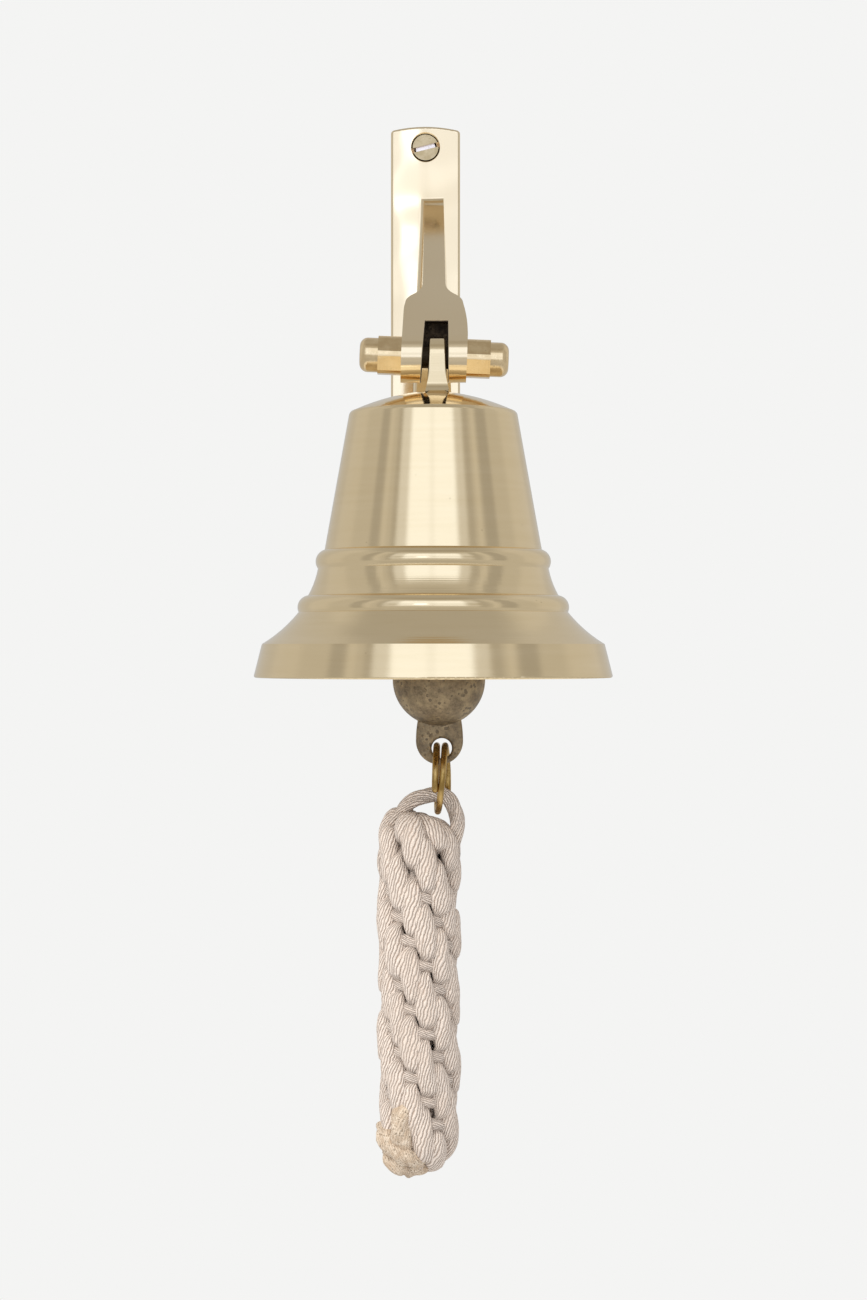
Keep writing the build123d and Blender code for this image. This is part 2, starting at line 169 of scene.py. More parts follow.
WINDOW_TINT = (1.0, 1.20, 1.62)      # daylight, cooler than the walls
glossy = node(air, "ShaderNodeCombineColor")
for channel, tint in enumerate(WINDOW_TINT):
    feed(air, glossy.inputs[channel], sum_of(air, "MULTIPLY_ADD", window, tint, walls))

# matt surfaces see a smooth version of the room: brighter in front, above and on the left
EVEN, FROM_ABOVE, FROM_FRONT, FROM_RIGHT = 0.93, 0.13, 0.30, -0.05
SOFT_TINT = (1.0, 0.985, 0.965)
soft = weighted(air, EVEN, upward, FROM_ABOVE)
soft = weighted(air, soft, toward, FROM_FRONT)
soft = weighted(air, soft, rightward, FROM_RIGHT)
matt = node(air, "ShaderNodeCombineColor")
for channel, tint in enumerate(SOFT_TINT):
    feed(air, matt.inputs[channel], sum_of(air, "MULTIPLY", soft, tint))
path = air.nodes.new("ShaderNodeLightPath")
room_light = blend_colours(air, path.outputs["Is Diffuse Ray"], glossy.outputs[0], matt.outputs[0])
lit = node(air, "ShaderNodeBackground", Color=room_light)
backdrop = node(air, "ShaderNodeBackground", Color=(0.905, 0.905, 0.896))
seen = air.nodes.new("ShaderNodeMixShader")
air.links.new(path.outputs["Is Camera Ray"], seen.inputs[0])
air.links.new(lit.outputs[0], seen.inputs[1])
air.links.new(backdrop.outputs[0], seen.inputs[2])
air.links.new(seen.outputs[0], air.nodes.new("ShaderNodeOutputWorld").inputs[0])

soft_box = bpy.data.objects.new("soft_box", bpy.data.lights.new("soft_box", "AREA"))
soft_box.data.shape = "RECTANGLE"
soft_box.data.size = 0.7
soft_box.data.size_y = 0.5
soft_box.data.energy = 7.0
soft_box.data.color = (1.0, 0.98, 0.95)
soft_box.location = (-0.55, -0.75, 0.55)
soft_box.rotation_euler = (math.radians(48), 0, math.radians(-38))
soft_box.visible_camera = False
soft_box.visible_glossy = False
scene.collection.objects.link(soft_box)


def disc(name, centre, radius, rings, spokes):
    """A flat round sheet: points at even radii and angles about its centre, and one in the middle."""
    angle = np.linspace(0, 2 * np.pi, spokes, endpoint=False)
    out = np.linspace(0, radius, rings + 1)[1:]
    x = centre[0] + out[:, None] * np.cos(angle)
    y = centre[1] + out[:, None] * np.sin(angle)
    grid = np.stack([x, y, np.full_like(x, centre[2])], -1).reshape(-1, 3)
    points = np.vstack([grid, centre])
    i, j = np.meshgrid(np.arange(rings - 1), np.arange(spokes), indexing="ij")
    after = (j + 1) % spokes
    inner, outer = i * spokes, (i + 1) * spokes
    quads = np.stack([inner + j, outer + j, outer + after, inner + after], -1)
    rim = np.arange(spokes)
    middle = np.stack([np.full(spokes, rings * spokes), rim, (rim + 1) % spokes], -1)
    mesh = bpy.data.meshes.new(name)
    mesh.from_pydata(points.tolist(), [], quads.reshape(-1, 4).tolist() + middle.tolist())
    made = bpy.data.objects.new(name, mesh)
    scene.collection.objects.link(made)
    return made


FLOOR_Z = -0.60
FLOOR_OUT = 0.10            # the middle of the floor is this far out from the wall
FLOOR_R = 0.66
floor = disc("floor", (0.0, -FLOOR_OUT, FLOOR_Z), FLOOR_R, rings=12, spokes=64)


def material(name):
    """A new material: itself, its nodes, its shader and the place on the object in metres."""
    made = bpy.data.materials.new(name)
    made.use_nodes = True
    tree = made.node_tree
    tree.nodes.clear()
    shader = tree.nodes.new("ShaderNodeBsdfPrincipled")
    tree.links.new(shader.outputs[0], tree.nodes.new("ShaderNodeOutputMaterial").inputs[0])
    return made, tree, shader, tree.nodes.new("ShaderNodeTexCoord").outputs["Object"]


pale, tree, shader, place = material("pale_floor")
x, y, z = xyz(tree, place)
away = sum_of(tree, "SQRT", sum_of(
    tree, "ADD", sum_of(tree, "POWER", sum_of(tree, "ABSOLUTE", x), 2.0),
    sum_of(tree, "POWER", sum_of(tree, "ABSOLUTE", sum_of(tree, "ADD", y, FLOOR_OUT)), 2.0)
))
shader.inputs["Base Color"].default_value = (0.74, 0.74, 0.733, 1)
shader.inputs["Roughness"].default_value = 0.9
feed(tree, shader.inputs["Alpha"], step(tree, away, FLOOR_R * 0.98, FLOOR_R * 0.45))
floor.data.materials.append(pale)

# ---- Brass finishes ---------------------------------------------------------------------------
# The bell, bracket and fittings are all yellow brass. What differs is the last finish: turned on a
# lathe, buffed on a mop, or left as cast, so each shares these effects with values of its own.


def effect(name, inputs, outputs):
    """A new node group with named inputs and outputs, given back with the nodes at its two ends."""
    group = bpy.data.node_groups.new(name, "ShaderNodeTree")
    for label, kind, value in inputs:
        socket = group.interface.new_socket(label, in_out="INPUT", socket_type=kind)
        if value is not None:
            socket.default_value = value
    for label, kind in outputs:
        group.interface.new_socket(label, in_out="OUTPUT", socket_type=kind)
    return group, group.nodes.new("NodeGroupInput"), group.nodes.new("NodeGroupOutput")


def use(tree, group, **values):
    """Places a node group in a material and sets its inputs. Underscores stand for spaces."""
    made = node(tree, "ShaderNodeGroup", node_tree=group)
    for label, value in values.items():
        feed(tree, made.inputs[label.replace("_", " ")], value)
    return made


def fade(tree, colour, mask, most, into):
    """Blends a colour into another, by at most this share where the mask is full."""
    return blend_colours(tree, sum_of(tree, "MULTIPLY", mask, most), colour, into)


def vary(tree, shader, name, value, span, base):
    """Sets an input of a shader to the base plus the span times a value from 0 to 1."""
    feed(tree, shader.inputs[name], sum_of(tree, "MULTIPLY_ADD", value, span, base))


VECTOR, NUMBER = "NodeSocketVector", "NodeSocketFloat"

# fine rings that a cutting tool leaves round a turned piece, and broad ones from the polishing mop
turning, tin, tout = effect(
    "turning_lines",
    [("Place", VECTOR, None), ("Lines per metre", NUMBER, 2500.0), ("Unevenness", NUMBER, 0.3)],
    [("Height", NUMBER), ("Shade", NUMBER)],
)
across, along, up = xyz(turning, tin.outputs["Place"])
lines = node(
    turning, "ShaderNodeTexNoise", noise_dimensions="1D", Detail=2.0, Scale=1.0,
    W=sum_of(turning, "MULTIPLY", up, tin.outputs["Lines per metre"])
)
drawn = node(turning, "ShaderNodeCombineXYZ")
for socket, part, per_metre in zip(drawn.inputs, (across, along, up), (26.0, 26.0, 420.0)):
    feed(turning, socket, sum_of(turning, "MULTIPLY", part, per_metre))
broad = node(turning, "ShaderNodeTexNoise", Vector=drawn.outputs[0], Scale=1.0, Detail=3.0)
relief = weighted(turning, lines.outputs[0], broad.outputs[0], tin.outputs["Unevenness"])
feed(turning, tout.inputs["Height"], relief)
feed(turning, tout.inputs["Shade"], broad.outputs[0])

# cloudy tarnish with small dark pits, as on brass that has been cast and handled
tarnish, tin, tout = effect(
    "tarnish",
    [
        ("Place", VECTOR, None), ("Cloud scale", NUMBER, 90.0),
        ("Pit scale", NUMBER, 420.0), ("Pit size", NUMBER, 0.2),
    ],
    [("Cloud", NUMBER), ("Pits", NUMBER), ("Height", NUMBER)],
)
at = tin.outputs["Place"]
cloud = node(
    tarnish, "ShaderNodeTexNoise", Vector=at, Scale=tin.outputs["Cloud scale"],
    Detail=5.0, Roughness=0.62
).outputs[0]
speck = node(tarnish, "ShaderNodeTexVoronoi", Vector=at, Scale=tin.outputs["Pit scale"])
grit_scale = sum_of(tarnish, "MULTIPLY", tin.outputs["Pit scale"], 2.2)
grit = node(tarnish, "ShaderNodeTexNoise", Vector=at, Scale=grit_scale, Detail=3.0)
hole = sum_of(tarnish, "LESS_THAN", speck.outputs["Distance"], tin.outputs["Pit size"])
pits = sum_of(tarnish, "MULTIPLY", hole, step(tarnish, cloud, 0.50, 0.58))
relief = weighted(tarnish, weighted(tarnish, cloud, grit.outputs[0], 0.5), pits, -0.9)
feed(tarnish, tout.inputs["Cloud"], step(tarnish, cloud, 0.36, 0.66))
feed(tarnish, tout.inputs["Pits"], pits)
feed(tarnish, tout.inputs["Height"], relief)


def roughen(tree, shader, heights, strength, depth):
    """A bump on a shader from a height, strength from 0 to 1 and depth in metres."""
    bump = node(tree, "ShaderNodeBump", Strength=strength, Distance=depth, Height=heights)
    tree.links.new(bump.outputs[0], shader.inputs["Normal"])


def finish_nodes(made, *names):
    """Gives CAD nodes this material in all of their slots."""
    for name in names:
        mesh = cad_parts[name].data
        if not mesh.materials:
            mesh.materials.append(made)
        for at in range(len(mesh.materials)):
            mesh.materials[at] = made


# ---- Wall bracket -----------------------------------------------------------------------------
# One brass casting: plate, sloping arm and fork. The faces are linished and buffed bright, which
# leaves them slightly wavy. The slot between the fork's ears is left rough from the sand, and its
# near-black colour is partly unpolished cast metal and partly painted shade.
buffed, tree, shader, place = material("buffed_brass")
x, y, z = xyz(tree, place)
SLOT_LEAN = 0.0701          # the slot's left wall leans this much sideways for each metre up
EDGE = 0.00015              # half the width over which the dark of the slot fades out
inside = 1.0
for across, low, high in (
    (sum_of(tree, "MULTIPLY_ADD", z, -SLOT_LEAN, x), 0.00055, 0.0300),   # from its leaning left wall
    (x, -0.0060, 0.00835),                                               # to its right wall
    (y, -0.0960, -0.0755),                                               # from its front to its back
    (z, -0.0364, -0.0089),                                               # from its mouth to its top
):
    inside = sum_of(tree, "MULTIPLY", inside, step(tree, across, low - EDGE, low + EDGE))
    inside = sum_of(tree, "MULTIPLY", inside, step(tree, across, high + EDGE, high - EDGE))
wave = node(tree, "ShaderNodeTexNoise", Vector=place, Scale=30.0, Detail=0.6)
sand = use(tree, tarnish, Place=place, Cloud_scale=500.0, Pit_scale=1500.0, Pit_size=0.3)
colour = blend_colours(tree, wave.outputs[0], (0.90, 0.72, 0.46), (0.96, 0.80, 0.55))
# near-black inside the slot: partly the unpolished sand-cast metal, partly painted shade deep between the
# ears
unpolished_dark_and_shade = blend_colours(tree, sand.outputs["Cloud"], (0.030, 0.020, 0.012), (0.115, 0.080, 0.045))
feed(tree, shader.inputs["Base Color"], blend_colours(tree, inside, colour, unpolished_dark_and_shade))
vary(tree, shader, "Roughness", inside, 0.45, 0.13)
vary(tree, shader, "Metallic", inside, -0.35, 1.0)
on_plate = step(tree, y, -0.0095, -0.0065)       # the plate is wavier than the arm and the fork
waviness = sum_of(
    tree, "MULTIPLY", wave.outputs[0], sum_of(tree, "MULTIPLY_ADD", on_plate, 0.8, 0.2)
)
grain = sum_of(tree, "MULTIPLY", inside, sand.outputs["Height"])
roughen(tree, shader, weighted(tree, waviness, grain, 0.15), 0.6, 0.0042)
finish_nodes(buffed, "wall_bracket")

# ---- Wall screws ------------------------------------------------------------------------------
# Slotted countersunk wood screws of turned brass. The faces of the heads are dull from handling, and
# the sawn slots are bright inside.
screw_brass, tree, shader, place = material("screw_brass")
x, y, z = xyz(tree, place)
HEAD_FACE_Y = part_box("upper_wall_screw")[0][1]
behind_face = sum_of(tree, "SUBTRACT", y, HEAD_FACE_Y)
sawn = sum_of(
    tree, "MULTIPLY", step(tree, behind_face, 0.0002, 0.0006), step(tree, behind_face, 0.0019, 0.0014)
)
dull = use(tree, tarnish, Place=place, Cloud_scale=260.0, Pit_scale=900.0, Pit_size=0.25)
colour = blend_colours(tree, dull.outputs["Cloud"], (0.50, 0.38, 0.205), (0.68, 0.54, 0.33))
feed(tree, shader.inputs["Base Color"], blend_colours(tree, sawn, colour, (0.97, 0.86, 0.80)))
shader.inputs["Metallic"].default_value = 1.0
vary(tree, shader, "Roughness", dull.outputs["Cloud"], 0.12, 0.30)
roughen(tree, shader, dull.outputs["Height"], 0.3, 0.0002)
finish_nodes(screw_brass, "upper_wall_screw", "lower_wall_screw")

# ---- Pivot stud and cap nuts ------------------------------------------------------------------
# An M8 brass stud through the fork, with a hexagon nut with a rounded end on each side. They are
# machined from bar and only lightly polished, so the flats show fine scratches.
bar_brass, tree, shader, place = material("bar_brass")
x, y, z = xyz(tree, place)
worn = use(tree, tarnish, Place=place, Cloud_scale=240.0, Pit_scale=700.0, Pit_size=0.12)
turned = node(tree, "ShaderNodeMapping", Vector=place, Rotation=(0, math.radians(90), 0))
scored = use(tree, turning, Place=turned.outputs[0], Lines_per_metre=3000.0, Unevenness=0.5)
colour = blend_colours(tree, worn.outputs["Cloud"], (0.80, 0.60, 0.34), (0.90, 0.70, 0.42))
colour = fade(tree, colour, worn.outputs["Pits"], 0.7, (0.25, 0.17, 0.09))
# the stud is dark between the ears of the fork: partly unpolished metal where no polish reaches, partly
# painted shade inside the slot
unpolished_and_shaded = sum_of(tree, "MULTIPLY", step(tree, x, -0.0058, -0.0050), step(tree, x, 0.0118, 0.0110))
colour = blend_colours(tree, unpolished_and_shaded, colour, (0.060, 0.042, 0.025))
feed(tree, shader.inputs["Base Color"], colour)
shader.inputs["Metallic"].default_value = 1.0
dulled = sum_of(tree, "MULTIPLY_ADD", unpolished_and_shaded, 0.35, 0.13)
vary(tree, shader, "Roughness", worn.outputs["Cloud"], 0.08, dulled)
roughen(tree, shader, scored.outputs["Height"], 0.12, 0.0002)
finish_nodes(bar_brass, "pivot_stud", "left_cap_nut", "right_cap_nut")

# ---- Bell -------------------------------------------------------------------------------------
# A single brass casting turned all over in a lathe and polished while it spins, so every reflection
# is drawn out across fine level rings. Its lug carries one small blowhole from the casting.
bell_brass, tree, shader, place = material("bell_brass")
rings = use(tree, turning, Place=place, Lines_per_metre=2600.0, Unevenness=0.6)
worn = use(tree, tarnish, Place=place, Cloud_scale=60.0, Pit_scale=260.0, Pit_size=0.05)
colour = blend_colours(tree, rings.outputs["Shade"], (0.845, 0.672, 0.405), (0.915, 0.745, 0.480))
colour = fade(tree, colour, worn.outputs["Pits"], 0.8, (0.35, 0.25, 0.14))
feed(tree, shader.inputs["Base Color"], colour)
shader.inputs["Metallic"].default_value = 1.0
vary(tree, shader, "Roughness", rings.outputs["Shade"], 0.06, 0.065)
roughen(tree, shader, rings.outputs["Height"], 0.10, 0.0002)
finish_nodes(bell_brass, "bell")

# ---- Clapper, its eye bolt, lock nut and ring -------------------------------------------------
# The clapper is a rough casting, never polished: mottled brown, with dark pits. It hangs inside the
# bell from a ring of thick wire and an eye bolt that a thin nut locks under the crown.
cast_brass, tree, shader, place = material("cast_brass")
skin = use(tree, tarnish, Place=place, Cloud_scale=170.0, Pit_scale=620.0, Pit_size=0.40)
fine = use(tree, tarnish, Place=place, Cloud_scale=900.0, Pit_scale=1900.0, Pit_size=0.30)
colour = blend_colours(tree, skin.outputs["Cloud"], (0.165, 0.125, 0.078), (0.44, 0.335, 0.195))
colour = fade(tree, colour, fine.outputs["Cloud"], 0.42, (0.50, 0.375, 0.235))
colour = fade(tree, colour, skin.outputs["Pits"], 0.65, (0.10, 0.080, 0.060))
colour = fade(tree, colour, fine.outputs["Pits"], 0.5, (0.12, 0.090, 0.065))
feed(tree, shader.inputs["Base Color"], colour)
shader.inputs["Metallic"].default_value = 0.85
vary(tree, shader, "Roughness", fine.outputs["Cloud"], 0.16, 0.44)
relief = weighted(tree, skin.outputs["Height"], fine.outputs["Height"], 0.4)
roughen(tree, shader, relief, 0.5, 0.0006)
finish_nodes(cast_brass, "clapper")

wire_brass, tree, shader, place = material("wire_brass")
skin = use(tree, tarnish, Place=place, Cloud_scale=200.0, Pit_scale=900.0, Pit_size=0.2)
colour = blend_colours(tree, skin.outputs["Cloud"], (0.40, 0.25, 0.075), (0.62, 0.42, 0.16))
feed(tree, shader.inputs["Base Color"], colour)
shader.inputs["Metallic"].default_value = 1.0
vary(tree, shader, "Roughness", skin.outputs["Cloud"], 0.10, 0.24)
roughen(tree, shader, skin.outputs["Height"], 0.2, 0.0002)
finish_nodes(wire_brass, "clapper_eye_bolt", "eye_bolt_lock_nut", "hanger_ring")

# ---- Lanyard ring -----------------------------------------------------------------------------
# Nearly two turns of brass wire, sprung apart a little, with plain cut ends. It was wound by hand
# through the clapper's lug and through the lanyard's loop.
RING_X, RING_Y, RING_Z = 0.0059, -0.085, -0.17175
RING_R = 0.0117
WIRE_R = 0.00115


def spline(knots, count):
    """Points along a smooth curve: the uniform cubic B-spline of the knots, with its ends drawn out
    to the first and last of them, at even steps of its parameter."""
    held = np.asarray(knots, float)
    held = np.concatenate([2 * held[:1] - held[1:2], held, 2 * held[-1:] - held[-2:-1]])
    spans = len(held) - 3
    at = np.linspace(0, spans, count)
    first = np.minimum(at.astype(int), spans - 1)
    t = (at - first).reshape((-1,) + (1,) * (held.ndim - 1))
    weights = ((1 - t) ** 3, 3 * t**3 - 6 * t**2 + 4, -3 * t**3 + 3 * t**2 + 3 * t + 1, t**3)
    return sum(w * held[first + n] for n, w in enumerate(weights)) / 6


def closed_tubes(name, grid, lengths):
    """One mesh of tubes. grid holds points by tube, by step along the tube and by step round it; each
    end is closed by a fan to its middle. The UV map runs once round in U, and in V it is the length
    in metres."""
    tubes, steps, sides = grid.shape[:3]
    ends = grid[:, (0, -1)].mean(axis=2)
    points = np.vstack([grid.reshape(-1, 3), ends.reshape(-1, 3)])
    k, i, j = np.meshgrid(np.arange(tubes), np.arange(steps - 1), np.arange(sides), indexing="ij")
    start, after = (k * steps + i) * sides, (j + 1) % sides
    quads = np.stack([start + j, start + after, start + sides + after, start + sides + j], -1)
    quads = quads.reshape(-1, 4)
    k, j = np.meshgrid(np.arange(tubes), np.arange(sides), indexing="ij")
    after = (j + 1) % sides
    first, last = k * steps * sides, (k * steps + steps - 1) * sides
    pole = tubes * steps * sides + 2 * k
    caps = np.concatenate([
        np.stack([pole, first + after, first + j], -1), np.stack([pole + 1, last + j, last + after], -1)
    ]).reshape(-1, 3)
    a, b, c, d = (points[quads[:, n]] for n in range(4))
    inside_out = np.einsum("ij,ij->", a, np.cross(b, c) + np.cross(c, d)) < 0
    if inside_out:
        quads, caps = quads[:, ::-1], caps[:, ::-1]
    turns = np.arange(sides + 1) / sides
    u0, u1 = (np.tile(u, tubes * (steps - 1)) for u in (turns[:-1], turns[1:]))
    v0, v1 = (np.repeat(v.reshape(-1), sides) for v in (lengths[:, :-1], lengths[:, 1:]))
    uv = np.stack([np.stack(corner, -1) for corner in ((u0, v0), (u1, v0), (u1, v1), (u0, v1))], 1)
    if inside_out:
        uv = uv[:, ::-1]
    mesh = bpy.data.meshes.new(name)
    mesh.from_pydata(points.tolist(), [], quads.tolist() + caps.tolist())
    mesh.polygons.foreach_set("use_smooth", np.ones(len(mesh.polygons), bool))
    layer = mesh.uv_layers.new(name="along")
    flat = np.zeros((len(mesh.loops), 2))
    flat[: uv.shape[0] * 4] = uv.reshape(-1, 2)
    layer.data.foreach_set("uv", flat.ravel())
    mesh.update()
    made = bpy.data.objects.new(name, mesh)
    scene.collection.objects.link(made)
    return made


def round_section(centre, side, radius, sides):
    """Rings of points about a curve: at each point, a circle of that radius across the curve's
    direction, with the side vector turned square to it."""
    along = np.gradient(centre, axis=-2)
    along /= np.linalg.norm(along, axis=-1, keepdims=True)
    side = side - (side * along).sum(-1, keepdims=True) * along
    side /= np.linalg.norm(side, axis=-1, keepdims=True)
    other = np.cross(along, side)
    turn = np.linspace(0, 2 * np.pi, sides, endpoint=False)
    ring = side[..., None, :] * np.cos(turn)[:, None] + other[..., None, :] * np.sin(turn)[:, None]
    return centre[..., None, :] + ring * np.asarray(radius)[..., None, None]


def run_of(centre):
    """Length along a curve at each of its points."""
    gaps = np.linalg.norm(np.diff(centre, axis=-2), axis=-1)
    return np.concatenate([np.zeros(gaps.shape[:-1] + (1,)), np.cumsum(gaps, axis=-1)], -1)


WIRE_STEPS = 240

# how far the wire stands to the right of the ring's middle, by its angle up from the front
turn_deg = np.array([-21, 30, 90, 180, 270, 339, 370, 400, 450, 540, 600])
stand_mm = np.array([-2.35, -2.1, -1.6, -1.5, -1.45, -0.3, 0.45, 0.9, 1.25, 2.4, 2.1])
angle = np.linspace(turn_deg[0], turn_deg[-1], WIRE_STEPS)
stand = np.interp(angle, turn_deg, stand_mm)
stand = np.convolve(np.pad(stand, 8, mode="edge"), np.ones(17) / 17, mode="valid")
turn = np.radians(angle)
wire = np.stack([
    RING_X + 0.001 * stand, RING_Y - RING_R * np.cos(turn), RING_Z + RING_R * np.sin(turn)
], -1)
from_end = np.minimum(np.arange(WIRE_STEPS), np.arange(WIRE_STEPS)[::-1])
radius = WIRE_R * np.minimum(1.0, 0.75 + 0.25 * from_end / 2)      # the edges of the cut ends are rounded
section = round_section(wire, np.array([1.0, 0, 0]), radius, 20)
ring = closed_tubes("lanyard_split_ring", section[None], run_of(wire)[None])
ring.data.materials.append(wire_brass)
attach(ring, "lanyard_ring")
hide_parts("lanyard_ring")

# ---- Lanyard ----------------------------------------------------------------------------------
# A bell rope of soft cotton, worked by hand: fourteen strands plaited down round a heart, over a
# weft that shows between them, with a bight left at the top for the ring.
AXIS_X, AXIS_Y = -0.0021, -0.085
STRANDS = 14
PERIOD = 0.0238             # from one tuck of a strand to its next
SHIFT = 5 / 14              # each strand is tucked this share of a period below its left neighbour
MID_R = 0.0112              # from the lanyard's axis to the middle of a strand
SHOULDER_Z, FOOT_Z = -0.1862, -0.3084
CORNER_TOP, CORNER_FOOT = 0.0080, 0.0088         # radii of the turns at the shoulder and the foot
END_R = 0.0018              # how near its axis the plait closes at the shoulder and the foot
FIRST_TUCK_Z = -0.2090      # height of the first tuck at the front
TAPER_Z = -0.2870           # the plait draws in a little below here


def outline(count):
    """Radius, height, length from the shoulder's end and slope along the side of the plait: out from
    under the bight, over the shoulder in a quarter circle, straight down, and in under the foot."""
    top_in = MID_R - CORNER_TOP - END_R
    foot_in = MID_R - CORNER_FOOT - END_R
    straight = SHOULDER_Z - CORNER_TOP - FOOT_Z - CORNER_FOOT
    lengths = np.array([
        top_in, CORNER_TOP * np.pi / 2, straight, CORNER_FOOT * np.pi / 2, foot_in
    ])
    marks = np.concatenate([[0], np.cumsum(lengths)])
    s = np.linspace(0, marks[-1], count)
    top_turn = np.clip((s - marks[1]) / CORNER_TOP, 0, np.pi / 2)
    foot_turn = np.clip((s - marks[3]) / CORNER_FOOT, 0, np.pi / 2)
    down = np.clip(s - marks[2], 0, lengths[2])
    out = END_R + np.clip(s, 0, top_in) + CORNER_TOP * np.sin(top_turn)
    out = out - CORNER_FOOT * (1 - np.cos(foot_turn)) - np.clip(s - marks[4], 0, foot_in)
    z = SHOULDER_Z - CORNER_TOP * (1 - np.cos(top_turn)) - down - CORNER_FOOT * np.sin(foot_turn)
    lean = top_turn + foot_turn
    out = out * (1 - 0.12 * np.clip((TAPER_Z - z) / 0.018, 0, 1) ** 2)
    return out, z, s - marks[2], lean


FLOAT = 0.45                # half the share of a period that a strand lies on the outside


def lump(phase):
    """Shape of one float of a strand, whose middle is at phase 0.5: how deep it is tucked, a smooth
    step near its ends; how full it is, a rounded dome between them; and its place along the float,
    from -1 to 1."""
    place = (phase - 0.5) / FLOAT
    far = np.clip((np.abs(place) - 0.72) / 0.46, 0, 1)
    tuck = far * far * (3 - 2 * far)
    full = np.clip(1 - np.abs(place) ** 2.6, 0, 1) ** 0.6
    return tuck, full, np.clip(place, -1, 1) * (1 - tuck)


ROWS = 300
out, z, run, lean = outline(ROWS)
strand = np.arange(STRANDS)[:, None]
bearing = np.radians((strand + 0.5) * 360 / STRANDS)
first_tuck = SHOULDER_Z - CORNER_TOP - FIRST_TUCK_Z
tucks = (run[None] - first_tuck) / PERIOD - (strand + 0.5) * SHIFT
tuck, full, slope = lump(np.mod(tucks, 1.0))
which = np.floor(tucks).astype(int)
which = which - which.min()

# no two floats are quite alike: each is a little fatter, prouder, more askew or fuller than the next
hand = np.random.default_rng(11).normal(0, 1, (4, STRANDS, which.max() + 1))
fatter, prouder, askew, fuller = (
    np.take_along_axis(drawn, which, axis=1) * full for drawn in hand
)
TUCK_DEPTH = 0.0036
TUCKED_WIDE, TUCKED_THICK = 0.0019, 0.0013       # half width and half depth where it is tucked
SWELL = 0.0022              # added to both in the middle of a float
grip = np.clip(np.minimum(np.arange(ROWS), np.arange(ROWS)[::-1]) / 14.0, 0.15, 1.0)
drawn_in = 0.55 + 0.45 * grip
reach = -TUCK_DEPTH * tuck + 0.00025 * slope + 0.00026 * prouder
sideways = 0.0018 * slope + 0.00050 * askew
wide = (TUCKED_WIDE + SWELL * full + 0.00022 * fatter) * drawn_in
thick = (TUCKED_THICK + SWELL * full + 0.00020 * fuller) * drawn_in

# the outward direction at each row, and the strands' middles set along it
on_top = np.clip(lean, 0, np.pi / 2)
under = lean - np.pi / 2
normal_r = np.where(run < 0, np.sin(on_top), np.cos(under))
normal_z = np.where(run < 0, np.cos(on_top), -np.sin(under))
r = out[None] + reach * normal_r[None]
swing = bearing + sideways / np.maximum(r, 0.004)
from_top = run - run[0]
sag = 0.0034 * np.sin(swing) * (r / MID_R) * np.exp(-((from_top / 0.017) ** 2))[None]
height = z[None] + reach * normal_z[None] - sag  # the shoulder sags on the right
radial = np.stack([np.sin(swing), -np.cos(swing), np.zeros_like(swing)], -1)
tangent = np.stack([np.cos(swing), np.sin(swing), np.zeros_like(swing)], -1)
facing = radial * normal_r[None, :, None] + np.array([0, 0, 1.0]) * normal_z[None, :, None]
axis = np.stack([np.full_like(r, AXIS_X), np.full_like(r, AXIS_Y), height], -1)
centre = radial * r[..., None] + axis

# each strand is itself laid up of three, which shows only faintly
around = np.linspace(0, 2 * np.pi, 22, endpoint=False)
lobes = 1 + 0.05 * np.cos(3 * around[None, None] - 2 * np.pi * run[None, :, None] / 0.0135)
grid = centre[:, :, None] + (
    tangent[:, :, None] * (wide[..., None] * lobes * np.cos(around))[..., None]
    + facing[:, :, None] * (thick[..., None] * lobes * np.sin(around))[..., None]
)
plait = closed_tubes("lanyard_plait_strands", grid, np.broadcast_to(from_top, (STRANDS, ROWS)))
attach(plait, "lanyard")
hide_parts("lanyard_plait")

# the weft: one rope wound round the heart so that it lies under every tuck
WEFT_R = 0.0023
WEFT_OUT = 0.0101           # from the lanyard's axis to the middle of the weft
WEFT_TURNS = 12.6
WEFT_STEPS = 640
lead = PERIOD / 3
weft_turn = np.linspace(0, 2 * np.pi * WEFT_TURNS, WEFT_STEPS)
weft_out = WEFT_OUT * np.clip(np.minimum(weft_turn, weft_turn[::-1]) / 5.0, 0.5, 1.0) ** 0.5
top_turns = math.floor((FIRST_TUCK_Z - SHOULDER_Z + 0.008) / -lead)
weft_z = FIRST_TUCK_Z + (top_turns - 0.5) * lead - lead * weft_turn / (2 * np.pi)
weft_line = np.stack([
    AXIS_X + weft_out * np.sin(weft_turn), AXIS_Y - weft_out * np.cos(weft_turn), weft_z
], -1)
section = round_section(weft_line, np.array([0, 0, 1.0]), np.full(WEFT_STEPS, WEFT_R), 16)
weft = closed_tubes("lanyard_weft", section[None], run_of(weft_line)[None])
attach(weft, "lanyard")


def laid_rope(name, line, side, radius, sides, swell, pitch):
    """Ropes of three strands laid up together, along one or more curves: round in section, but
    swelling by this share over each strand. The next strand comes past at every pitch."""
    line = line.reshape((-1,) + line.shape[-2:])
    middle = line[..., None, :]
    turn = np.linspace(0, 2 * np.pi, sides, endpoint=False)
    lobes = 1 + swell * np.cos(3 * turn - 2 * np.pi * run_of(line)[..., None] / pitch)
    grid = middle + (round_section(line, side, radius, sides) - middle) * lobes[..., None]
    return closed_tubes(name, grid, run_of(line))


